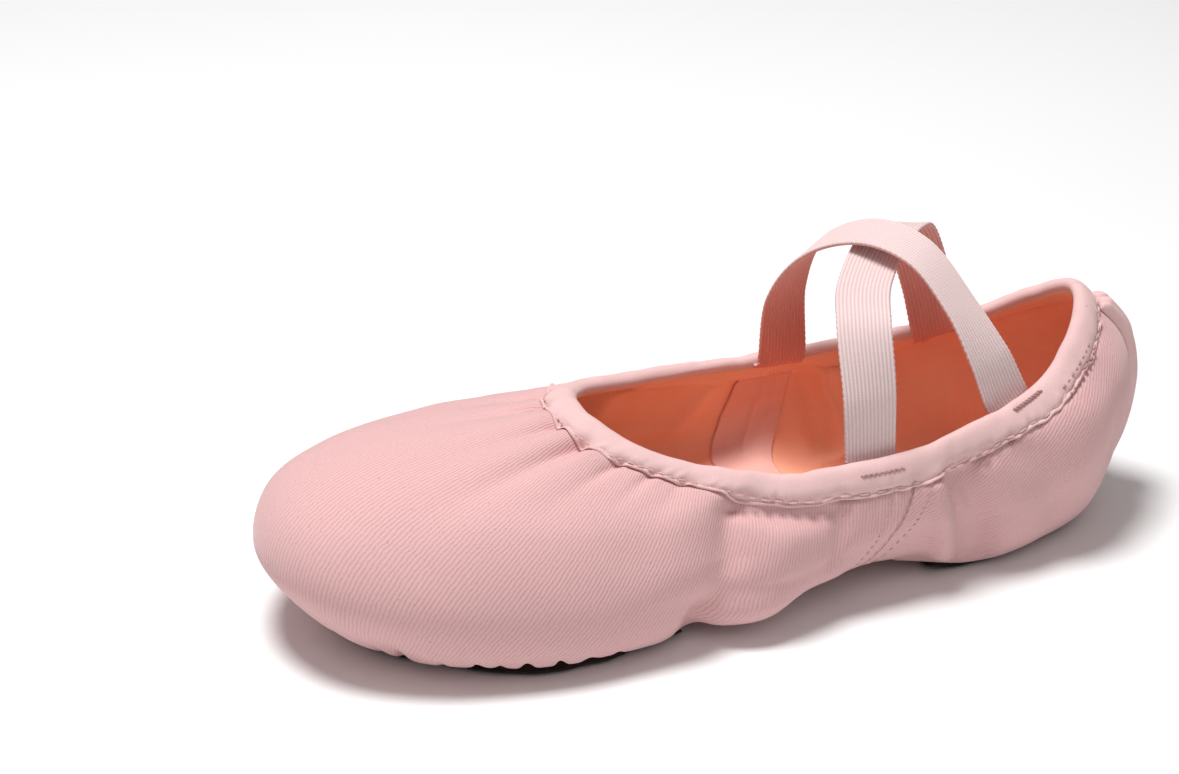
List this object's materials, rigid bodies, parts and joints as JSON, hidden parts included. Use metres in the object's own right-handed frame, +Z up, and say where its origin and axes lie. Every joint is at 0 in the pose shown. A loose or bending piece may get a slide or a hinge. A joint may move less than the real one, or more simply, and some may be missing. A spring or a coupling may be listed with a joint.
{
  "type": "ballet slipper",
  "caption": "Soft canvas split-sole ballet slipper with suede pads under forefoot and heel, a gathered casing round the opening and crossed elastic straps over the instep.",
  "frame": {"origin": "centre of the footprint, on the floor under the suede pads", "axes": "+Z up; +Y from toe to heel; +X to the wearer's left"},
  "size_m": [0.0904, 0.2392, 0.0844],
  "materials": {
    "canvas": "pale pink cotton twill canvas, matt",
    "lining": "coral cotton lining, matt",
    "suede": "dark brown suede, rough",
    "foam": "soft open foam",
    "insole_cloth": "pale pink cotton, matt",
    "elastic": "ribbed knitted elastic, pale pink",
    "thread": "pink sewing thread"
  },
  "bodies": {
    "forefoot": {"outsole_forefoot": "suede", "vamp_canvas": "canvas", "vamp_lining": "lining", "insole_foam_forefoot": "foam", "insole_cover_forefoot": "insole_cloth", "topline_casing": "canvas", "drawcord": "elastic", "topline_stitching": "thread"},
    "heel": {"quarter_canvas_left": "canvas", "quarter_canvas_right": "canvas", "heel_seam_strip": "canvas", "quarter_lining_left": "lining", "quarter_lining_right": "lining", "side_seam_tape_left": "lining", "side_seam_tape_right": "lining", "outsole_heel": "suede", "insole_foam_heel": "foam", "insole_cover_heel": "insole_cloth", "strap_under": "elastic", "strap_over": "elastic", "side_seam_stitching_left_front": "thread", "side_seam_stitching_left_back": "thread", "side_seam_stitching_right_front": "thread", "side_seam_stitching_right_back": "thread", "strap_tack_front_left": "thread", "strap_tack_front_right": "thread", "strap_tack_rear_left": "thread", "strap_tack_rear_right": "thread"}
  },
  "joints": [
    {"name": "arch_flex", "type": "hinge", "parent": "forefoot", "child": "heel", "pos_m": [0, 0.014, 0.009], "axis": [1, 0, 0], "range_deg": [0, 45], "stiffness_Nm_per_rad": 0.03, "deforming": ["vamp_canvas", "vamp_lining", "topline_casing", "drawcord", "topline_stitching"]}
  ]
}
